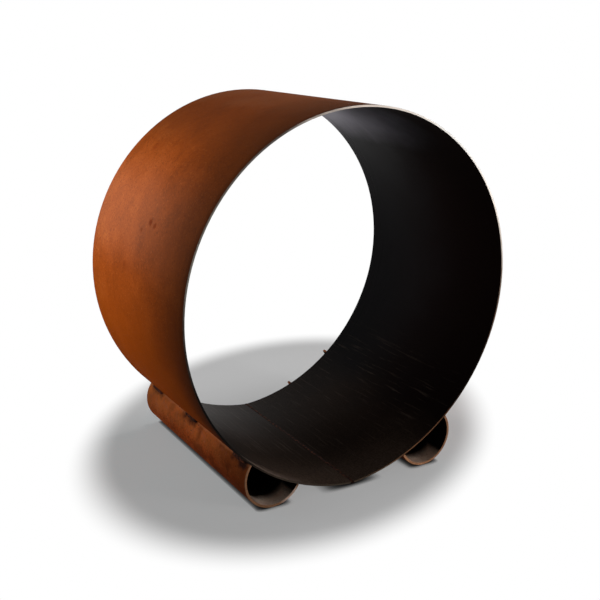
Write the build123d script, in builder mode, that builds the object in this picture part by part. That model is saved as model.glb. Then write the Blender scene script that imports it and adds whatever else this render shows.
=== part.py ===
"""Welded drum rack: a rolled plate drum lying on two feet of split pipe.

Millimetres, +Z up. The drum's axis runs along Y with the front rim towards -Y.
The origin is on the floor, midway between the feet and halfway along them.
"""
import math
import os

from build123d import *

# Driving dimensions of the drum
drum_radius = 400.0  # outside of the plate, over the top and down both sides
drum_width = 500.0  # from rim to rim
plate = 4.0  # thickness of the rolled plate
under_roll = 32.0  # how much larger the radius stays near the plate's two ends
flank_angle = 70.0  # from straight down to where that larger radius begins, degrees
edge_break = 0.5  # chamfer on cut edges

# Driving dimensions of the seam along the bottom of the drum
root_gap = 2.0  # between the two ends of the plate
outer_crown_width = 10.0
outer_crown_height = 1.4
inner_crown_width = 8.0
inner_crown_height = 1.0
floor_clearance = 1.6  # under the crown of the seam weld

# Driving dimensions of the feet
pipe_diameter = 139.7
pipe_wall = 5.4
foot_overhang = 20.0  # of a foot behind the drum; its front end is flush with the rim
foot_spread = 400.0  # between the centre lines of the two pipes
seat_gap = 0.2  # fit-up gap where a foot lies against the drum

# Driving dimensions of the stitch welds
stitch_length = 55.0
bead_radius = 7.0  # from the corner it fills to its crown
nose_radius = 4.0  # the same at the blunt ends of a stitch
nose_length = 5.0  # over which the bead runs out to that
front_stitch_inset = 15.0  # from the drum's front rim to the first stitch
rear_stitch_inset = 3.0  # from the drum's rear rim to the last stitch
middle_stitch_shift = 20.0  # of the middle stitch, back from halfway

# The two flanks of the drum are arcs about centres across the drum's axis
flank_radius = drum_radius + under_roll
flank_x = -under_roll * math.sin(math.radians(flank_angle))
flank_z = under_roll * math.cos(math.radians(flank_angle))


def flank_height(x, inset=0.0):
    """Height of the flank's skin against the drum's axis, x away from the middle."""
    return flank_z - math.sqrt((flank_radius - inset) ** 2 - (x - flank_x) ** 2)


def drum_outline(inset):
    """Profile of the drum, drawn the given depth inside its outer skin."""
    foot_of_flank = math.degrees(math.acos(-flank_x / (flank_radius - inset)))
    with BuildSketch() as outline:
        with BuildLine():
            over = CenterArc((0, 0), drum_radius - inset, flank_angle - 90, 180 - flank_angle)
            flank = CenterArc(
                (flank_x, flank_z),
                flank_radius - inset,
                -foot_of_flank,
                foot_of_flank + flank_angle - 90,
            )
            Line(over @ 1, flank @ 0)
        make_face()
        mirror(about=Plane.YZ)
    return outline.sketch


# Heights and planes that the pieces share
axis_height = floor_clearance + outer_crown_height - flank_height(0)
foot_length = drum_width + foot_overhang
front_y = -foot_length / 2
rear_y = front_y + drum_width
drum_front = Plane(origin=(0, front_y, axis_height), x_dir=(1, 0, 0), z_dir=(0, -1, 0))
outer_skin = drum_outline(0)
inner_skin = drum_outline(plate)

# Drum shell: one rolled plate, its two ends facing each other across the root gap
with BuildSketch() as plate_section:
    add(outer_skin)
    add(inner_skin, mode=Mode.SUBTRACT)
    with Locations((0, flank_height(0))):
        Rectangle(root_gap, drum_radius, mode=Mode.SUBTRACT)

with BuildPart() as drum_shell:
    with BuildSketch(drum_front):
        add(plate_section.sketch)
    extrude(amount=-drum_width)
    rim_edges = drum_shell.faces().filter_by(Axis.Y).edges().filter_by(GeomType.CIRCLE)
    chamfer(rim_edges, edge_break)
drum_shell.part.label = "drum_shell"

# Seam weld: fills the root gap and stands proud of the plate on both sides
with BuildPart() as drum_seam_weld:
    with BuildSketch(drum_front):
        with BuildLine():
            outer_toe = outer_crown_width / 2
            inner_toe = inner_crown_width / 2
            crown = ThreePointArc(
                (-outer_toe, flank_height(outer_toe)),
                (0, flank_height(0) - outer_crown_height),
                (outer_toe, flank_height(outer_toe)),
            )
            root = ThreePointArc(
                (inner_toe, flank_height(inner_toe, plate)),
                (0, flank_height(0, plate) + inner_crown_height),
                (-inner_toe, flank_height(inner_toe, plate)),
            )
            Line(crown @ 1, root @ 0)
            Line(root @ 1, crown @ 0)
        make_face()
        add(plate_section.sketch, mode=Mode.SUBTRACT)
    extrude(amount=-drum_width)
drum_seam_weld.part.label = "drum_seam_weld"

# Where a pipe has to be split so that the inner corners of its wall meet the drum
pipe_radius = pipe_diameter / 2
bore_radius = pipe_radius - pipe_wall
reach_x = foot_spread / 2 - flank_x
reach_z = axis_height + flank_z - pipe_radius
reach = math.hypot(reach_x, reach_z)
foot_lean = math.atan2(reach_x, reach_z)
split_height = (reach**2 + bore_radius**2 - flank_radius**2) / (2 * reach) - seat_gap


def foot_plane(side):
    """Front end of a pipe, with its own y axis pointing at the drum."""
    return Plane(
        origin=(side * foot_spread / 2, front_y, pipe_radius),
        x_dir=(math.cos(foot_lean), 0, side * math.sin(foot_lean)),
        z_dir=(0, -1, 0),
    )


def split_pipe(side):
    """One foot: a pipe split lengthwise on a plane, open side against the drum."""
    with BuildPart() as foot:
        with BuildSketch(foot_plane(side)):
            Circle(pipe_radius)
            Circle(bore_radius, mode=Mode.SUBTRACT)
            with Locations((0, split_height)):
                Rectangle(
                    pipe_diameter,
                    pipe_diameter,
                    align=(Align.CENTER, Align.MIN),
                    mode=Mode.SUBTRACT,
                )
        extrude(amount=-foot_length)
        end_edges = foot.faces().filter_by(Axis.Y).edges().filter_by(GeomType.CIRCLE)
        chamfer(end_edges, edge_break)
    return foot.part


# Solid envelopes that trim the stitch welds to the skins they are laid on
with BuildPart() as drum_envelope:
    with BuildSketch(drum_front):
        add(outer_skin)
    extrude(amount=-drum_width)


def pipe_envelope(side):
    """The whole pipe as a solid bar, before it is split."""
    with BuildPart() as bar:
        with BuildSketch(foot_plane(side)):
            Circle(pipe_radius)
        extrude(amount=-foot_length)
    return bar.part


# Half section of a stitch weld along its length, running out to a blunt nose at both ends
with BuildSketch() as bead_section:
    with BuildLine():
        Polyline(
            (0, 0),
            (0, nose_radius),
            (nose_length, bead_radius),
            (stitch_length - nose_length, bead_radius),
            (stitch_length, nose_radius),
            (stitch_length, 0),
            close=True,
        )
    make_face()


def stitch_weld(side, seam, start_y):
    """A short fillet weld turned about the corner it fills, trimmed to the drum and the pipe."""
    root_x = side * seam * math.sqrt(pipe_radius**2 - split_height**2)
    corner = foot_plane(side).from_local_coords(Vector(root_x, split_height, 0))
    along = Plane(origin=(corner.X, start_y, corner.Z), x_dir=(0, 1, 0), z_dir=(1, 0, 0))
    with BuildPart() as bead:
        with BuildSketch(along):
            add(bead_section.sketch)
        revolve(axis=Axis(along.origin, along.x_dir))
        add(drum_envelope.part, mode=Mode.SUBTRACT)
        add(pipe_envelope(side), mode=Mode.SUBTRACT)
    return bead.part


# Three stitches along each of a foot's two seams, each named with its front end
front_stitch = front_y + front_stitch_inset
rear_stitch = rear_y - rear_stitch_inset - stitch_length
middle_stitch = (front_stitch + rear_stitch) / 2 + middle_stitch_shift
stitches = {"front": front_stitch, "middle": middle_stitch, "rear": rear_stitch}

os.makedirs("parts", exist_ok=True)
export_step(drum_shell.part, "parts/drum_shell.step")
export_step(drum_seam_weld.part, "parts/drum_seam_weld.step")
for side_name, side in (("left", -1), ("right", 1)):
    foot = split_pipe(side)
    foot.label = f"{side_name}_foot"
    export_step(foot, f"parts/{foot.label}.step")
    for seam_name, seam in (("outer", 1), ("inner", -1)):
        for place, start_y in stitches.items():
            weld = stitch_weld(side, seam, start_y)
            weld.label = f"{side_name}_{seam_name}_{place}_weld"
            export_step(weld, f"parts/{weld.label}.step")

print(f"drum axis {axis_height:.1f} above the floor, feet split {split_height:.2f} above centre")
print(f"feet lean {math.degrees(foot_lean):.1f} degrees, drum plate {drum_shell.part.volume / 1000:.0f} cm3")
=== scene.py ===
# %% [markdown]
# # A welded drum rack
#
# The rack is one steel plate rolled into a drum, open at both ends, that lies on two feet of split pipe.
# Short welds hold the feet to the drum, and one long weld closes the plate along the drum's lowest line.
# Outside, the steel has rusted to a dry orange brown. Inside it keeps the black scale of the rolling mill,
# and the cut rims are paler than both.
#
# The solids come from CAD and stay as they are. This lesson dresses them: it writes the finishes as node
# materials, lays finer weld beads over the plain ones, and sets up the floor, the lamps and the camera.

# %% Load the solids
import math
import random

import bmesh
import bpy
from mathutils import Matrix, Vector, noise


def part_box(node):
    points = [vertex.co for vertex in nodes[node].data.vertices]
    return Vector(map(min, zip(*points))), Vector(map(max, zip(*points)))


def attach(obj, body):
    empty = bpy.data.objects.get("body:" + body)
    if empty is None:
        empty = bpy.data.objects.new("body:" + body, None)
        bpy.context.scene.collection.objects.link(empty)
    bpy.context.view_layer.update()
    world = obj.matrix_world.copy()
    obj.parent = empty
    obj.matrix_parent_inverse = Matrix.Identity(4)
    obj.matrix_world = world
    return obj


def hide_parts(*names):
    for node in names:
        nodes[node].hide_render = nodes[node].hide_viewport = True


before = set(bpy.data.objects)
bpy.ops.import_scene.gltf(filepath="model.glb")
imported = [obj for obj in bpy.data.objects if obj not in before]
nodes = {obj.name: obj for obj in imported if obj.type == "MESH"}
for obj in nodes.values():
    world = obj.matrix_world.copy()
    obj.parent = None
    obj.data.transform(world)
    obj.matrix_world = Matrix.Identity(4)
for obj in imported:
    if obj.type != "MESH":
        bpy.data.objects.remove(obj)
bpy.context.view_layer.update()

# %% [markdown]
# ## Where things are
#
# Everything is in metres and in the CAD's own frame: the origin is on the floor under the middle, Z is up
# and the drum's axis runs along Y, its front rim towards -Y. The drum is round over the top, so half its
# width is its radius, and its axis lies one radius below its highest point. A foot's axis lies one radius
# above the floor, and the two corners of its split are its highest point and its innermost one. Reading
# these from the solids keeps the looks in place if a size changes.

# %% Measure the drum
drum_low, drum_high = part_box("drum_shell")
drum_radius = drum_high.x
axis_z = drum_high.z - drum_radius
front_y, rear_y = drum_low.y, drum_high.y
drum_middle = Vector((0, (front_y + rear_y) / 2, axis_z))
print(f"drum: radius {drum_radius:.3f} m, axis {axis_z:.3f} m up, rims at y {front_y:.3f} and {rear_y:.3f}")

# %% Measure the feet
foot_points = [v.co for v in nodes["right_foot"].data.vertices]
foot_x = min(foot_points, key=lambda p: p.z).x
foot_front, foot_rear = min(p.y for p in foot_points), max(p.y for p in foot_points)
pipe_radius = max(p.x for p in foot_points) - foot_x
outer_corner = max(foot_points, key=lambda p: p.z)
inner_corner = min(foot_points, key=lambda p: p.x)
print(f"feet: pipe radius {pipe_radius:.4f} m, {foot_x:.3f} m to each side of the middle")

# %% [markdown]
# The stitch welds sit at three places along each foot. Their solids are named for the foot, the seam and
# the place, so the same three names find them all.

# %% Find the stitch welds
stitch_spans = {place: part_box(f"right_outer_{place}_weld") for place in ("front", "middle", "rear")}
stitch_middles = [(low.y + high.y) / 2 for low, high in stitch_spans.values()]
stitch_half = (stitch_spans["front"][1].y - stitch_spans["front"][0].y) / 2
print(f"stitches {stitch_half * 2:.3f} m long, centred at y {[round(y, 3) for y in stitch_middles]}")

# %% [markdown]
# ## Shader sums in plain Python
#
# A rusted surface is a stack of masks and mixes. Drawn by hand that is a screen full of boxes. Here a small
# class holds one socket of a material, so that `1 - mask` or `wide * 0.6 + grain * 0.4` adds its Math nodes
# by itself. One method adds every other kind of node: its type, its settings, then what goes into its
# sockets.


# %% A socket that can be added and multiplied
class Wire:
    """One output socket of a node tree, for use in sums."""

    def __init__(self, tree, socket=None):
        self.tree = tree
        self.socket = socket

    def node(self, kind, settings=None, sockets=None, out=0):
        """Add a node: its type, then its settings, then a value or a wire for each socket."""
        made = self.tree.nodes.new("ShaderNode" + kind)
        for name, value in (settings or {}).items():
            if name == "stops":
                fill_ramp(made.color_ramp, value)
            else:
                setattr(made, name, value)
        for name, value in (sockets or {}).items():
            if isinstance(value, Wire):
                self.tree.links.new(value.socket, made.inputs[name])
            else:
                made.inputs[name].default_value = value
        return Wire(self.tree, made.outputs[out] if made.outputs else None)

    def math(self, operation, first, second=0.0):
        return self.node("Math", {"operation": operation}, {0: first, 1: second})

    def __add__(self, other):
        return self.math("ADD", self, other)

    def __sub__(self, other):
        return self.math("SUBTRACT", self, other)

    def __rsub__(self, other):
        return self.math("SUBTRACT", other, self)

    def __mul__(self, other):
        return self.math("MULTIPLY", self, other)

    __radd__ = __add__
    __rmul__ = __mul__


# %% [markdown]
# A few helpers say what comes up again and again. The first ones make masks, which run from 0 to 1: a soft
# step between two values, its reverse, and cloudy noise whose patches have a size in metres. A little of
# that noise added to a distance makes the edge of a mask ragged, as real stains are.


# %% Steps and noise
def step(wire, low, high):
    """0 below low, 1 above high, and a smooth rise between them."""
    settings = {"interpolation_type": "SMOOTHSTEP"}
    return wire.node("MapRange", settings, {"Value": wire, "From Min": low, "From Max": high})


def fade(wire, low, high):
    """1 below low, 0 above high, and a smooth fall between them."""
    return 1 - step(wire, low, high)


def cloud(place, size, detail, rough, seed):
    """Cloudy noise about 0.5, in patches about as wide as size, broken up by layers of finer detail."""
    sockets = {"Vector": place, "W": seed, "Scale": 1 / size, "Detail": detail, "Roughness": rough}
    return place.node("TexNoise", {"noise_dimensions": "4D"}, sockets)


def ragged(place, size, amount, seed, rough=0.6):
    """Cloudy noise about 0, to shift the edge of a mask by part of the amount."""
    return (cloud(place, size, 3.0, rough, seed) - 0.5) * amount


def parts_of(vector):
    """The X, Y and Z of a vector as three wires."""
    return [vector.node("SeparateXYZ", None, {0: vector}, out=axis) for axis in "XYZ"]


def span(a, b):
    """Distance from two sides at a right angle."""
    return a.math("SQRT", a * a + b * b)


# %% [markdown]
# The next ones are for colour. A swatch is a colour as it is read off a screen. A card of shades gives a
# colour for a tone. Weather comes in layers, so `paint` lays thin coats over a colour one after the other,
# each with its mask and its strength.


# %% Colours and coats of colour
def swatch(red, green, blue):
    """A colour as it is read off a screen, 0 to 255, turned into the light that a shader takes."""
    return tuple(((c / 255 + 0.055) / 1.055) ** 2.4 for c in (red, green, blue)) + (1.0,)


def fill_ramp(ramp, stops):
    """Put each colour of the stops at its place on a ramp."""
    while len(ramp.elements) < len(stops):
        ramp.elements.new(1.0)
    for element, (place, colour) in zip(ramp.elements, stops):
        element.position = place
        element.color = colour


def shade_card(tone, *stops):
    """A colour looked up on a card of shades, by its tone."""
    return tone.node("ValToRGB", {"stops": stops}, {"Fac": tone})


def tint(share, under, over):
    """Two colours mixed: all under at 0, all over at 1."""
    return share.node("Mix", {"data_type": "RGBA"}, {0: share, 6: under, 7: over}, out=2)


def paint(colour, *layers):
    """Coats laid over a colour in turn: where each one lies, how strong it is, and its shade."""
    for where, strength, shade in layers:
        colour = tint(where * strength, colour, shade)
    return colour


# %% [markdown]
# Every finish starts the same way: an empty material, and the place on the rack that is being shaded. A
# solid's object sits at the origin, so its object coordinates are places in the frame. A finish ends by
# handing its shader over. Where a piece has more than one finish, they are laid over each other with masks.


# %% Start and end a finish
def new_finish(name):
    """An empty material, and the wire of the place that is being shaded."""
    finish = bpy.data.materials.new(name)
    finish.use_nodes = True
    finish.node_tree.nodes.clear()
    return finish, Wire(finish.node_tree).node("TexCoord", out="Object")


def relief(height, depth):
    """A surface normal tilted by bumps of about the given depth."""
    return height.node("Bump", None, {"Height": height, "Distance": depth})


def coat(colour, roughness, normal, shine):
    """A finish from its colour, roughness and normal. The shine is the same all over."""
    sockets = {"Base Color": colour, "Roughness": roughness, "Normal": normal, "Metallic": 0.0}
    return colour.node("BsdfPrincipled", None, {**sockets, "Specular IOR Level": shine})


def lay(share, under, over):
    """One shader laid over another where share is 1."""
    return share.node("MixShader", None, {0: share, 1: under, 2: over})


def end_finish(finish, shader):
    """Hand a shader over to its material."""
    shader.node("OutputMaterial", None, {"Surface": shader})
    print(f"{finish.name}: {len(finish.node_tree.nodes)} nodes")


# %% [markdown]
# ## Rust
#
# Weathering steel left in the rain grows a tight skin of rust: broad clouds of orange and brown, finer
# mottling a few centimetres across, and a grain like fine sandpaper. Noise at three sizes gives the three
# scales. Their sum picks a colour from a card of shades. Pits and pale specks break up the grain, and the
# same noises lift the surface, so that the skin looks dry.


# %% Rust for the drum and the feet
def rust(place, seed, shades):
    """Colour, roughness and normal of a rust skin, from its darkest to its palest shade."""
    wide = cloud(place, 0.32, 3.0, 0.5, seed)
    mottle = cloud(place, 0.055, 5.0, 0.6, seed + 3.0)
    grain = cloud(place, 0.0045, 3.0, 0.7, seed + 7.0)
    tone = wide * 0.35 + mottle * 0.35 + grain * 0.30
    colour = shade_card(tone, *zip((0.34, 0.46, 0.54, 0.68), shades))
    pits = step(cloud(place, 0.0042, 2.0, 0.5, seed + 11.0), 0.55, 0.68)
    specks = step(cloud(place, 0.0048, 2.0, 0.5, seed + 13.0), 0.57, 0.70)
    colour = paint(colour, (pits, 0.50, shades[0]), (specks, 0.45, shades[3]))
    normal = relief(grain * 0.6 + mottle * 0.3 + specks * 0.4 - pits * 0.6, 0.0008)
    return colour, grain * 0.25 + 0.62, normal


# %% [markdown]
# Welding burns the skin next to a bead: the rust turns to a dark oxide in a ragged band a centimetre or two
# wide. The band follows the distance to the nearest stitch, measured along the seam and away from it.


# %% Burnt steel beside the stitches
def to_foot_seam(place):
    """Distance from the nearest line along which a foot meets the drum."""
    x, _, z = parts_of(place)
    out = place.math("ABSOLUTE", x)
    distances = [span(out - corner.x, z - corner.z) for corner in (outer_corner, inner_corner)]
    return place.math("MINIMUM", *distances)


def weld_burn(place):
    """1 at a stitch weld, falling to 0 a centimetre or two away, with a ragged edge."""
    along = parts_of(place)[1]
    to_stitches = [place.math("ABSOLUTE", along - middle) for middle in stitch_middles]
    to_stitch = place.math("MINIMUM", place.math("MINIMUM", *to_stitches[:2]), to_stitches[2])
    past_end = place.math("MAXIMUM", to_stitch - stitch_half * 0.8, 0.0)
    edge = ragged(place, 0.026, 0.04, seed=51.0, rough=0.55)
    return fade(span(to_foot_seam(place), past_end) + edge, 0.005, 0.021)


# %% [markdown]
# ## Mill scale
#
# Plate leaves the mill with a thin black oxide, faintly streaked the way it was rolled. Inside the drum it
# stayed dry enough to last. The streaks run round the drum, because the plate was rolled that way, so their
# noise is stretched along the arc. Over the top a pale sheen is painted into the colour, near the front rim
# the scale is matt and brown, and along the bottom it is dusty.


# %% Black scale for the inside
def mill_scale(place, round_place, behind_rim, height):
    """Colour, roughness and normal of the black scale, matt near the front rim, dusty at the bottom, painted
    sheen on top.
    """
    wide = cloud(place, 0.20, 4.0, 0.55, 21.0)
    streaks = cloud(round_place, 0.010, 3.0, 0.6, 23.0)
    grain = cloud(place, 0.003, 2.0, 0.6, 25.0)
    drift = (wide - 0.5) * 0.2
    kept = step(behind_rim + drift, 0.05, 0.5)
    # Over the top a pale sheen is painted into the colour.
    painted_top_sheen = step(height + (streaks - 0.5) * 0.03, 0.67, 0.90)
    dusty = fade(height + drift, -1.0, -0.75) * (step(grain, 0.4, 0.6) * 0.4 + 0.6)
    dusty = dusty * (0.8 - step(behind_rim, 0.02, 0.16) * 0.55)
    sound = shade_card(
        wide * 0.5 + streaks * 0.3 + grain * 0.2,
        (0.38, swatch(8, 6, 8)),
        (0.52, swatch(13, 11, 13)),
        (0.66, swatch(22, 19, 22)),
    )
    # The pale colour here is the painted sheen over the top.
    sound = tint(painted_top_sheen, sound, swatch(158, 153, 164))
    colour = tint(dusty, tint(kept, swatch(15, 6, 4), sound), swatch(104, 86, 74))
    roughness = wide * 0.1 + streaks * 0.1 - kept * 0.55 + dusty * 0.4 + 0.72
    return colour, roughness, relief(grain * 0.6 + streaks * 0.4, 0.0003)


# %% [markdown]
# ## Cut edges
#
# The rims were cut and dressed with a grinder. Their colours are painted light and shade: a painted
# highlight over the top, painted shade nearly black low on both sides, and brown near the floor. The shades
# go once round the rim: the card starts at the lowest point, climbs the left side to the top at 0.5 and
# comes down the right.


# %% Ground steel for the rims, its colours painted light and shade
def cut_edge_with_painted_light(place, turn):
    """Colour, roughness and normal of the drum's cut rims, by the turn from the top, in painted light and
    shade.
    """
    patches = cloud(place, 0.03, 4.0, 0.6, 31.0)
    marks = cloud(place, 0.002, 2.0, 0.6, 33.0)
    colour = shade_card(
        turn * (0.5 / math.pi) + (patches - 0.5) * 0.08 + 0.5,
        (0.0, swatch(80, 69, 58)),
        (0.08, swatch(74, 62, 54)),
        (0.12, swatch(34, 27, 23)),
        (0.16, swatch(9, 7, 6)),
        (0.19, swatch(14, 11, 9)),
        (0.24, swatch(74, 66, 60)),
        (0.29, swatch(152, 144, 134)),
        (0.35, swatch(126, 118, 108)),
        (0.42, swatch(94, 86, 80)),
        (0.50, swatch(246, 230, 216)),
        (0.60, swatch(255, 250, 244)),
        (0.67, swatch(248, 236, 224)),
        (0.75, swatch(124, 108, 96)),
        (0.79, swatch(84, 60, 46)),
        (0.83, swatch(26, 19, 16)),
        (0.87, swatch(32, 19, 9)),
        (0.92, swatch(112, 76, 52)),
        (1.0, swatch(80, 69, 58)),
    )
    return colour, marks * 0.3 + 0.35, relief(marks, 0.0002)


# %% [markdown]
# ## The drum's plate
#
# The drum is one solid with three finishes, so one material has to know which side it is on. The direction
# from the drum's axis to the surface, set against the surface's own normal, tells outside from inside, and
# a normal along the axis marks a rim. Two more maps of the plate help with streaks: in one, lengths round
# the drum are squeezed, so that noise on it runs round, and in the other lengths along it are.

# %% Which side of the plate
drum_finish, place = new_finish("drum_plate_steel")
x, y, z = parts_of(place)
facing_x, facing_y, facing_z = parts_of(place.node("NewGeometry", out="True Normal"))
up = z - axis_z
inside = fade(facing_x * x + facing_z * up, -0.01, 0.01)
rim = step(place.math("ABSOLUTE", facing_y), 0.4, 0.6)
turn = place.math("ARCTAN2", x, up)
round_squeeze, long_squeeze = 0.08, 0.06
round_place = place.node("CombineXYZ", None, {"X": turn * (drum_radius * round_squeeze), "Y": y})
long_place = place.node("CombineXYZ", None, {"X": turn * drum_radius, "Y": y * long_squeeze})
print(f"{drum_finish.name}: the sides are told apart with {len(drum_finish.node_tree.nodes)} nodes")

# %% [markdown]
# The outside is not painted evenly. Behind the front rim it is painted darker as shade, most of all low down
# and in a strip next to the rim. The top is painted darker as shade too, darkest on its shoulders and less
# so along the crest. A pale band where the sides start to fall is a painted sheen, and further down the rust
# is a clean deep orange, painted brighter to the rear as light. Faint streaks run down the sides. Each of
# these is a mask of the height or of the distance behind the front rim. The height is counted from the axis,
# in radii.

# %% Where the painted shade, sheen and streaks go
behind_rim = y - front_y
height = up * (1 / drum_radius) + ragged(place, 0.10, 0.1, seed=43.0, rough=0.5)
# Painted shade: darker behind the front rim, most of all low down and in a strip next to the rim.
painted_front_shade = fade(behind_rim + ragged(place, 0.12, 0.1, seed=41.0, rough=0.5), -0.08, 0.30)
painted_brim_shade = fade(behind_rim, 0.0, 0.09) * fade(height, -0.5, 0.3)
painted_rim_strip_shade = fade(behind_rim, 0.0, 0.022)
# Painted shade over the top, darkest on its shoulders and less so along the crest.
painted_top_shade = step(height, 0.45, 0.95)
crest = step(height + ragged(place, 0.16, 0.16, seed=49.0, rough=0.55), 0.91, 1.0)
painted_shoulder_shade = step(height, 0.70, 0.86) * (1 - crest)
# A painted sheen: a pale band where the sides start to fall.
painted_sheen_band = step(height, 0.05, 0.35) * fade(height, 0.45, 0.75) * (1 - painted_front_shade * 0.5)
low_side = fade(height, -0.4, 0.15)
streaks = step(cloud(round_place, 0.016, 3.0, 0.6, 45.0), 0.52, 0.75)

# %% Paint the shade, sheen and streaks on
drum_shades = [swatch(112, 50, 16), swatch(154, 71, 21), swatch(170, 80, 25), swatch(196, 104, 44)]
rust_colour, rust_roughness, rust_normal = rust(place, 1.0, drum_shades)
# Low on the sides the rust's rear is painted brighter, as light.
low_rust_painted_lit_rear = tint(step(behind_rim, 0.24, 0.42), swatch(176, 78, 2), swatch(196, 88, 8))
# Over real streaks go painted light on the low rust, a painted sheen band and painted shade on the top and
# the front.
rust_colour = paint(
    rust_colour,
    (streaks, 0.22, swatch(112, 48, 18)),
    (low_side, 0.75, low_rust_painted_lit_rear),
    (painted_sheen_band, 0.15, swatch(196, 150, 126)),
    (painted_top_shade, 0.70, swatch(92, 46, 20)),
    (painted_shoulder_shade, 0.30, swatch(84, 40, 15)),
    (crest, 0.45, swatch(114, 70, 44)),
    (painted_front_shade, 0.88, swatch(61, 32, 15)),
    (painted_brim_shade, 0.68, swatch(36, 16, 6)),
    (painted_rim_strip_shade, 0.40, swatch(40, 18, 8)),
)
print(f"{drum_finish.name}: {len(drum_finish.node_tree.nodes)} nodes with the weather")

# %% [markdown]
# A few dark knocks sit halfway down the left side. Each is a blot at a turn from the top and a distance
# behind the front rim, with its edge roughened by noise. Last comes the burnt steel beside the welds.


# %% Mark the left side
def blot(turn_degrees, depth, size):
    """1 on a small ragged spot of the drum's skin."""
    aside = (turn - math.radians(turn_degrees)) * drum_radius
    edge = ragged(place, size * 0.5, size * 1.4, seed=47.0)
    return fade(span(aside, behind_rim - depth) + edge, size * 0.3, size * 0.9)


# Each knock: turn from the top in degrees, metres behind the rim, size in metres, strength
knocks = (
    (-66.5, 0.222, 0.012, 0.60),
    (-67.1, 0.198, 0.010, 0.55),
    (-69.7, 0.253, 0.008, 0.40),
    (-44.0, 0.400, 0.018, 0.25),
    (-82.0, 0.300, 0.016, 0.18),
)
for turn_degrees, depth, size, strength in knocks:
    rust_colour = paint(rust_colour, (blot(turn_degrees, depth, size), strength, swatch(112, 34, 4)))
rust_colour = paint(rust_colour, (weld_burn(place), 0.4, swatch(54, 38, 34)))
print(f"{len(knocks)} knocks on the left side")

# %% [markdown]
# The bottom of the drum gets the wear: pale scuffs run along it from rim to rim. Over the lip above the left
# foot a ragged pale smear is painted in as light.

# %% Scuff the inside and paint light on its lip
scale_colour, scale_roughness, scale_normal = mill_scale(place, round_place, behind_rim, height)
scuffs = step(cloud(long_place, 0.007, 4.0, 0.65, 27.0), 0.54, 0.70) * fade(height, -0.85, -0.45)
lip_wobble = cloud(place, 0.022, 4.0, 0.65, 29.0) - 0.5
lip_wobble_turn = turn + lip_wobble * 0.6
# Painted light: a ragged pale smear over the lip above the left foot.
painted_lip_light = step(lip_wobble_turn, -2.95, -2.60) * fade(lip_wobble_turn, -2.55, -2.30)
painted_lip_light = painted_lip_light * fade(behind_rim + lip_wobble * 0.10, -0.010, 0.050)
scale_colour = paint(
    scale_colour,
    (scuffs, 0.30, swatch(112, 98, 88)),
    (painted_lip_light, 0.80, swatch(160, 138, 122)),
)

# %% Finish the drum
outside_coat = coat(rust_colour, rust_roughness, rust_normal, shine=0.01)
inside_coat = coat(scale_colour, scale_roughness, scale_normal, shine=0.015)
rim_coat = coat(*cut_edge_with_painted_light(place, turn), shine=0.03)
end_finish(drum_finish, lay(rim, lay(inside, outside_coat, inside_coat), rim_coat))
nodes["drum_shell"].material_slots[0].material = drum_finish

# %% [markdown]
# ## The feet
#
# The feet are cut from pipe that has rusted longer, redder and more mottled than the plate. One material
# serves both. The same tests as on the drum tell the outside, the bore and the sawn ends apart, with the
# pipe's axis in place of the drum's.

# %% Which side of a pipe
foot_finish, place = new_finish("foot_pipe_steel")
x, y, z = parts_of(place)
facing_x, facing_y, facing_z = parts_of(place.node("NewGeometry", out="True Normal"))
off_axis = x - place.math("SIGN", x) * foot_x
bore = fade(facing_x * off_axis + facing_z * (z - pipe_radius), -0.002, 0.002)
end = step(place.math("ABSOLUTE", facing_y), 0.4, 0.6)
behind_end = y - foot_front
rearward = step(behind_end, 0.20, 0.48)
print(f"{foot_finish.name}: the sides are told apart with {len(foot_finish.node_tree.nodes)} nodes")

# %% [markdown]
# Higher up the pipe is painted a lighter orange as light from above, more so to the rear, and pale scuffs
# lie there. Dark stains get weaker towards the rear, and the front is painted darker as shade. A thin pale
# line along the seam is a painted highlight, and the stitches have burnt the steel beside them.

# %% Paint light, shade and wear on the outside of the pipe
foot_shades = [swatch(104, 46, 20), swatch(196, 92, 40), swatch(232, 112, 50), swatch(248, 148, 86)]
rust_colour, rust_roughness, rust_normal = rust(place, 61.0, foot_shades)
# Painted light on the upper part, where the real pale scuffs also lie.
painted_light_and_wear_top = step(z + ragged(place, 0.04, 0.07, seed=65.0), 0.05, 0.10)
scuffs = step(cloud(place, 0.028, 4.0, 0.65, 75.0), 0.52, 0.68) * painted_light_and_wear_top
stains = step(cloud(place, 0.062, 3.0, 0.55, 69.0), 0.48, 0.62)
# Painted shade over the front of the pipe.
shaded = fade(behind_end + ragged(place, 0.05, 0.12, seed=67.0), 0.02, 0.22)
# A thin pale line along the seam, a painted highlight.
painted_seam_highlight = fade(to_foot_seam(place) + ragged(place, 0.03, 0.012, seed=63.0), 0.002, 0.007)
rust_colour = paint(
    rust_colour,
    (painted_light_and_wear_top, rearward * 0.35 + 0.45, swatch(255, 152, 82)),
    (scuffs, 0.40, swatch(226, 138, 108)),
    (stains, 0.55 - rearward * 0.35, swatch(104, 44, 22)),
    (shaded, 0.72, swatch(84, 34, 12)),
    (painted_seam_highlight, 0.50, swatch(236, 156, 106)),
    (weld_burn(place), 0.92 - rearward * 0.4, swatch(50, 31, 29)),
)
outside_coat = coat(rust_colour, rust_roughness, rust_normal, shine=0.02)

# %% [markdown]
# The floor of each bore is painted pale close to its mouth, as light falling in. Further in, and up its
# walls, the bore is painted black as shade.

# %% Painted light and shade in the bore
# Pale shades, painted in as light on the bore's floor near its mouth.
bore_painted_light_shades = [swatch(180, 144, 122), swatch(220, 184, 160), swatch(234, 204, 182), swatch(246, 224, 206)]
bore_colour, bore_roughness, bore_normal = rust(place, 71.0, bore_painted_light_shades)
to_mouth = place.math("MINIMUM", behind_end, foot_rear - y) + ragged(place, 0.03, 0.02, seed=73.0)
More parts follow.
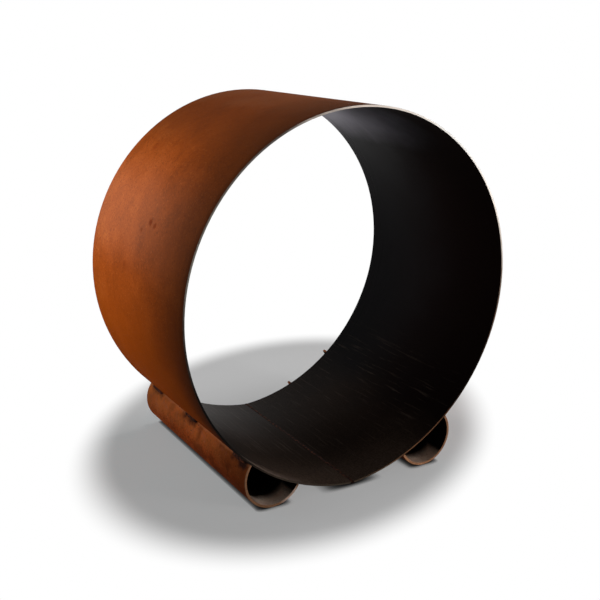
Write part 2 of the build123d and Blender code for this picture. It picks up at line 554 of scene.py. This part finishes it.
# Painted shade: black further in and up the walls.
black = place.math("MAXIMUM", step(to_mouth, 0.018, 0.052), step(z, 0.011, 0.028))
bore_colour = tint(black, bore_colour, swatch(14, 8, 6))
bore_coat = coat(bore_colour, bore_roughness, bore_normal, shine=0.01)

# %% [markdown]
# The sawn ends have rusted to a light brown. On the left foot the end is painted darker as shade, painted
# paler as light to the right of its lowest point, and painted nearly black as shade where it tucks under the
# drum. On the right foot only its right side is painted a little darker as shade.

# %% Sawn ends
end_shades = [swatch(130, 89, 65), swatch(174, 121, 87), swatch(194, 137, 99), swatch(212, 169, 134)]
end_colour, end_roughness, end_normal = rust(place, 81.0, end_shades)
on_left = fade(x, -0.05, 0.05)
painted_left_end_light = on_left * (step(off_axis, 0.010, 0.025) * fade(off_axis, 0.048, 0.056))
painted_tuck_shade = on_left * step(off_axis, 0.050, 0.060)
painted_right_end_shade = (1 - on_left) * step(off_axis, 0.02, 0.04)
# Painted shade over the left end, painted light low on it, and painted shade where it tucks under and on the
# right end's right side.
end_colour = paint(
    end_colour,
    (on_left, 0.5, swatch(132, 96, 70)),
    (painted_left_end_light, 0.8, swatch(223, 190, 172)),
    (painted_tuck_shade, 0.9, swatch(50, 28, 8)),
    (painted_right_end_shade, 0.4, swatch(84, 66, 56)),
)
end_coat = coat(end_colour, end_roughness, end_normal, shine=0.10)

# %% Finish the feet
end_finish(foot_finish, lay(end, lay(bore, outside_coat, bore_coat), end_coat))
for name in ("left_foot", "right_foot"):
    nodes[name].material_slots[0].material = foot_finish

# %% [markdown]
# ## Weld metal
#
# A bead cools under a dark brown oxide, with rusty patches a few millimetres across. The stitches further
# back have rusted more, so they are browner.

# %% Finish for beads and spatter
weld_finish, place = new_finish("weld_bead_metal")
x, y, _ = parts_of(place)
patches = cloud(place, 0.008, 4.0, 0.6, 91.0)
grain = cloud(place, 0.0012, 2.0, 0.6, 93.0)
rusted = step(y, 0.06, 0.18) * step(place.math("ABSOLUTE", x), 0.05, 0.10)
colour = shade_card(
    patches,
    (0.36, swatch(28, 17, 14)),
    (0.50, swatch(50, 30, 24)),
    (0.64, swatch(120, 66, 40)),
)
colour = paint(colour, (rusted, 0.5, swatch(112, 70, 52)))
end_finish(weld_finish, coat(colour, grain * 0.3 + 0.44, relief(grain, 0.0002), shine=0.03))

# %% [markdown]
# ## Stitch welds
#
# A welder lays a stitch as a row of overlapping puddles, so its crown is ribbed with crescents and both ends
# are blunt. The plain solid already fills the corner. The finer bead is a strip of points swept round that
# corner: for each step along the seam a fan of angles from the pipe's skin to the drum's, at a distance that
# ripples. Its toes dip a little into the steel, as fused metal does.


# %% Read the fan of a stitch off its solid
def bead_fan(name, corner):
    """The bead's radius about its corner, and the first and last angle that it covers, seen along Y."""
    away = [(v.co.x - corner.x, v.co.z - corner.z) for v in nodes[name].data.vertices]
    radius = max(math.hypot(*p) for p in away)
    crown = [p for p in away if math.hypot(*p) > 0.98 * radius]
    middle = math.atan2(sum(p[1] for p in crown), sum(p[0] for p in crown))
    turns = [math.remainder(math.atan2(p[1], p[0]) - middle, math.tau) for p in crown]
    return radius, middle + min(turns), middle + max(turns)


# %% [markdown]
# Rows of points become a skin with one face between each pair of neighbours, and a cap at both ends. Every
# bead is made into a piece in the same way: it takes the weld finish, rides with the rack and stands for
# the plain solid, which is then hidden.


# %% From rows of points to a piece
def skin_rows(mesh, rows):
    """Close rows of points into a skin, and cap both ends."""
    for near, far in zip(rows, rows[1:]):
        for j in range(len(near)):
            k = (j + 1) % len(near)
            mesh.faces.new((near[j], near[k], far[k], far[j]))
    mesh.faces.new(rows[0])
    mesh.faces.new(rows[-1])
    bmesh.ops.recalc_face_normals(mesh, faces=mesh.faces)


def make_piece(mesh, name, finish):
    """Turn a mesh into a smooth piece with its finish."""
    data = bpy.data.meshes.new(name)
    mesh.to_mesh(data)
    mesh.free()
    for face in data.polygons:
        face.use_smooth = True
    data.materials.append(finish)
    piece = bpy.data.objects.new(name, data)
    bpy.context.scene.collection.objects.link(piece)
    return piece


def finer_bead(mesh, node_name):
    """A piece of weld metal that stands for a plain solid."""
    piece = make_piece(mesh, f"rippled_{node_name}", weld_finish)
    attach(piece, "root")
    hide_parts(node_name)
    return piece


# %% [markdown]
# The ripples bow back towards the toes, and noise lets the bead wander a little, so that no two stitches are
# alike.

# %% Sweep a rippled bead along a seam
ripple_pitch = 0.0032
ripple_height = 0.0004
bead_wander = 0.0014
toe_sink = 0.12  # radians that each toe reaches into the steel
nose_share = 0.16  # the part of a stitch's length over which an end swells to its full size
nose_size = 0.45  # how large the very end is, against the full size
stitch_steps, fan_steps = 110, 14


def finer_stitch(name, corner):
    """A rippled bead in place of a plain stitch weld."""
    low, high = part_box(name)
    length = high.y - low.y
    radius, first, last = bead_fan(name, corner)
    mesh = bmesh.new()
    rows = []
    for i in range(stitch_steps + 1):
        y = low.y + length * i / stitch_steps
        from_end = min(min(y - low.y, high.y - y) / (nose_share * length), 1.0)
        swell = nose_size + (1 - nose_size) * math.sqrt(max(0.0, 1 - (1 - from_end) ** 2))
        row = []
        for j in range(fan_steps + 1):
            share = j / fan_steps
            angle = first - toe_sink + (last - first + 2 * toe_sink) * share
            bow = (share - 0.5) ** 2 * 4
            rib = abs(math.sin(math.pi * (y / ripple_pitch + bow * 0.9)))
            spot = Vector((y * 90, share * 3, len(name) + corner.x * 50))
            out = radius * swell - ripple_height * rib * (1 - bow * 0.6)
            out += bead_wander * (noise.noise(spot) - 0.6)
            x, z = corner.x + out * math.cos(angle), corner.z + out * math.sin(angle)
            row.append(mesh.verts.new((x, y, z)))
        row.append(mesh.verts.new((corner.x, y, corner.z)))
        rows.append(row)
    skin_rows(mesh, rows)
    return finer_bead(mesh, name)


# %% Lay the twelve stitches
bead_faces = 0
for side_name, side in (("left", -1), ("right", 1)):
    for seam_name, corner in (("outer", outer_corner), ("inner", inner_corner)):
        for place_name in stitch_spans:
            seam_corner = Vector((side * corner.x, 0, corner.z))
            bead = finer_stitch(f"{side_name}_{seam_name}_{place_name}_weld", seam_corner)
            bead_faces += len(bead.data.polygons)
print(f"twelve stitches, {bead_faces} faces")

# %% [markdown]
# ## The seam along the bottom
#
# The weld that closes the drum was laid from both sides, so it has a low crown inside and outside. The finer
# bead is a ring of points, across the outer crown and back across the inner one, stepped along the drum.

# %% Sweep the long seam
seam_low, seam_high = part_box("drum_seam_weld")
plate = 0.004
toe_rise = 0.0006
seam_steps, crown_steps = 400, 8
crowns = (
    (seam_high.x, drum_low.z + toe_rise, seam_low.z),
    (-0.8 * seam_high.x, drum_low.z + plate, seam_high.z),
)
mesh = bmesh.new()
rows = []
for i in range(seam_steps + 1):
    y = seam_low.y + (seam_high.y - seam_low.y) * i / seam_steps
    row = []
    for half_width, toe_z, crown_z in crowns:
        for j in range(crown_steps + 1):
            share = 2 * j / crown_steps - 1
            rib = abs(math.sin(math.pi * (y / ripple_pitch + share * share * 0.8)))
            rise = (1 - share * share) * (1 - 0.3 * rib)
            row.append(mesh.verts.new((half_width * share, y, toe_z + (crown_z - toe_z) * rise)))
    rows.append(row)
skin_rows(mesh, rows)
seam_bead = finer_bead(mesh, "drum_seam_weld")
print(f"long seam, {len(seam_bead.data.polygons)} faces")

# %% [markdown]
# ## Spatter
#
# Sparks from the torch freeze on the steel as beads a millimetre or two wide. They are scattered about each
# outer stitch and pressed onto the nearest skin, flattened so that they look stuck and not laid down. A
# spark that would land on a rim, or on the far side of the steel, is left out.

# %% Scatter spatter beside the outer stitches
sparks_each = 9
scatter, scatter_along = 0.016, 0.04
rim_margin = 0.004
dice = random.Random(7)
mesh = bmesh.new()
for side, foot_name in ((-1, "left_foot"), (1, "right_foot")):
    for middle in stitch_middles:
        for _ in range(sparks_each):
            aim = Vector((side * (outer_corner.x + 0.02), middle, outer_corner.z))
            off_x = dice.gauss(0, scatter)
            off_y = dice.uniform(-scatter_along, scatter_along)
            off_z = dice.gauss(0, scatter)
            carrier = nodes[dice.choice(("drum_shell", foot_name))]
            _, spot, facing, _ = carrier.closest_point_on_mesh(aim + Vector((off_x, off_y, off_z)))
            size = dice.uniform(0.0006, 0.0015)
            on_skin = abs(facing.y) <= 0.1 and facing.x * side >= 0
            if not on_skin or not front_y + rim_margin < spot.y < rear_y - rim_margin:
                continue
            stand = facing.to_track_quat("Z", "Y").to_matrix().to_4x4()
            flat = Matrix.Diagonal((size, size, size * 0.6, 1))
            pose = Matrix.Translation(spot) @ stand @ flat
            bmesh.ops.create_icosphere(mesh, subdivisions=2, radius=1, matrix=pose)
spatter = make_piece(mesh, "weld_spatter", weld_finish)
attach(spatter, "root")
print(f"spatter, {len(spatter.data.polygons)} faces")

# %% [markdown]
# ## Floor and background
#
# The rack stands on a plain floor that runs out into a white background. To the light the floor is matt
# white all over. To the eye it carries a painted shadow: a soft grey oval patch round the feet, about 1.3 by
# 0.9 m and turned by 40 degrees, that fades to plain white. Reflections and clear materials have to show the
# same, so all three kinds of rays count as the eye's.


# %% Rays that see the background
def seen_by_eye(wire):
    """1 for rays from the eye, and for reflections and clear materials, which show the background too."""
    rays = [wire.node("LightPath", out=f"Is {kind} Ray") for kind in ("Camera", "Glossy", "Transmission")]
    return wire.math("MAXIMUM", wire.math("MAXIMUM", *rays[:2]), rays[2])


# %% Draw the oval of painted shadow
patch_middle = (0.072, 0.108)
patch_turn = math.radians(40.5)
patch_length, patch_width = 0.650, 0.4575  # from its middle to where it is half faded
floor_finish, place = new_finish("white_floor")
x, y, _ = parts_of(place)
off_x, off_y = x - patch_middle[0], y - patch_middle[1]
along = off_x * math.cos(patch_turn) + off_y * math.sin(patch_turn)
across = off_y * math.cos(patch_turn) - off_x * math.sin(patch_turn)
far = step(span(along * (1 / patch_length), across * (1 / patch_width)), 0.884, 1.116)
print(f"patch of {2 * patch_length:.2f} by {2 * patch_width:.2f} m round {patch_middle}")

# %% [markdown]
# Close to the steel the floor is darker, because less light gets in there. An Ambient Occlusion node
# measures how open a point is within a short reach. Multiplied by itself twice, it gives the tight dark line
# along the feet. Multiplied by one with a longer reach, it gives the softer shade between them. The drum's
# front lip hangs just over the floor, so the floor next to it is shaded a little more.

# %% Shade the floor close to the steel
foot_reach, drum_reach = 0.0122, 0.016
by_foot, by_drum = [
    place.node("AmbientOcclusion", {"samples": 16}, {"Distance": reach}, out="AO")
    for reach in (foot_reach, drum_reach)
]
aside = place.math("ABSOLUTE", x)
between_feet = fade(aside, 0.13, 0.20)
by_lip = fade(aside, 0.0, 0.09) * fade(front_y - y, 0.0, 0.013) * fade(y, 0.0, 0.15)
near_foot = by_foot * by_foot
open_sky = by_foot * (near_foot + between_feet * (by_drum - near_foot)) * (1 - by_lip * 0.5)

# %% [markdown]
# The painted shadow's grey is partly matt paint and partly a glow of its own, so the lamps' own shadow stays
# on it but is faint. Beside the feet the rust throws a warm light on the floor, and a slightly cool glow
# evens it out.

# %% Mix the floor's finish
glow = 0.2804
plain, cool = (1.0, 1.0, 1.0, 1), (0.953, 1.017, 1.030, 1)
beside_feet = step(aside, 0.17, 0.24) * fade(aside, 0.34, 0.60) * step(y, -0.42, 0.0)
even = tint(beside_feet * fade(y, 0.22, 0.38), plain, cool)
matt, grey, shade = [
    place.node("BsdfDiffuse", None, {"Color": (level, level, level, 1)}) for level in (0.8, 0.5, 0.02)
]
lift = place.node("Emission", None, {"Color": even, "Strength": glow})
# The grey in the oval is a painted shadow.
painted_shadow_patch = lay(open_sky, shade, grey.node("AddShader", None, {0: grey, 1: lift}))
white = place.node("Emission", None, {"Strength": 1.0})
seen = seen_by_eye(place)
end_finish(floor_finish, lay(seen * far, lay(seen, matt, painted_shadow_patch), white))

# %% Lay the floor
floor_half = 30
mesh = bmesh.new()
bmesh.ops.create_grid(mesh, x_segments=1, y_segments=1, size=floor_half)
floor = make_piece(mesh, "floor", floor_finish)
print(f"floor {2 * floor_half} m wide")

# %% [markdown]
# The room around the rack is the world's background. It is white to the eye, and a dim even light for
# everything else, so that it doesn't flood the steel.

# %% Light the room
room_level, white_level = 0.11, 1.0
world = bpy.data.worlds.new("studio")
world.use_nodes = True
world.node_tree.nodes.clear()
bpy.context.scene.world = world
start = Wire(world.node_tree)
dim, bright = [
    start.node("Background", None, {"Color": (1, 1, 1, 1), "Strength": level})
    for level in (room_level, white_level)
]
sky = lay(seen_by_eye(start), dim, bright)
sky.node("OutputWorld", None, {"Surface": sky})
print(f"room light at {room_level} of white")

# %% [markdown]
# ## Lamps
#
# Soft boxes light the rack the way a product is shot. One at the left, behind the drum, rakes along the
# rust. One hangs almost straight above, so that the shadow lies round the feet. Weak ones fill in the front
# and the right. A narrow spread keeps all but the top one on the steel and off the floor.


# %% Hang the soft boxes
def soft_box(name, where, aim, size, watts, spread=180):
    """A square lamp that the camera doesn't see, turned to its aim."""
    lamp = bpy.data.lights.new(name, "AREA")
    lamp.size = size
    lamp.energy = watts
    lamp.spread = math.radians(spread)
    stand = bpy.data.objects.new(name, lamp)
    stand.location = where
    stand.rotation_euler = (Vector(aim) - Vector(where)).to_track_quat("-Z", "Y").to_euler()
    stand.visible_camera = False
    bpy.context.scene.collection.objects.link(stand)
    print(f"{name}: {watts} W at {where}")


soft_box("left_rear_box", (-1.30, 0.72, 0.74), (-0.38, 0.16, 0.68), 0.45, 1.45, spread=50)
soft_box("top_box", (0.13, 0.10, 2.3), (0, 0, 0.4), 0.5, 12.3)
soft_box("front_box", (1.1, -1.7, 0.42), (0.22, -0.26, 0.55), 0.6, 2.75, spread=50)
soft_box("right_box", (2.0, 0.4, 1.0), (0.35, 0, 0.6), 1.0, 1.25, spread=60)

# %% [markdown]
# ## Camera
#
# The eye stands to the left of the front and a little above the drum's top. Its place is given as a turn, a
# rise and a distance about the drum's middle. It looks almost at that middle, and its picture leans by
# about a degree.

# %% Set up the camera
eye_turn, eye_rise, eye_distance = math.radians(-31.429), math.radians(14.783), 2.1036
look_turn, look_rise = math.radians(-31.645), math.radians(16.430)
lean = math.radians(1.040)
picture_width = 600
focal_length = 913.0  # in points of the picture
sensor_width = 36.0


def from_middle(turn, rise):
    """Direction from the drum's middle to an eye at that turn from the front and that rise."""
    return Vector((math.sin(turn) * math.cos(rise), -math.cos(turn) * math.cos(rise), math.sin(rise)))


back = from_middle(look_turn, look_rise)
level = Vector((0, 0, 1)).cross(back).normalized()
upright = back.cross(level)
right = math.cos(lean) * level + math.sin(lean) * upright
camera_data = bpy.data.cameras.new("camera")
camera_data.sensor_width = sensor_width
camera_data.lens = sensor_width * focal_length / picture_width
camera = bpy.data.objects.new("camera", camera_data)
bpy.context.scene.collection.objects.link(camera)
camera.matrix_world = Matrix.Translation(drum_middle + from_middle(eye_turn, eye_rise) * eye_distance) @ (
    Matrix((right, back.cross(right), back)).transposed().to_4x4()
)
bpy.context.scene.camera = camera
bpy.context.scene.view_settings.view_transform = "Standard"
print(f"eye at {[round(c, 3) for c in camera.matrix_world.translation]}, lens {camera_data.lens:.1f} mm")
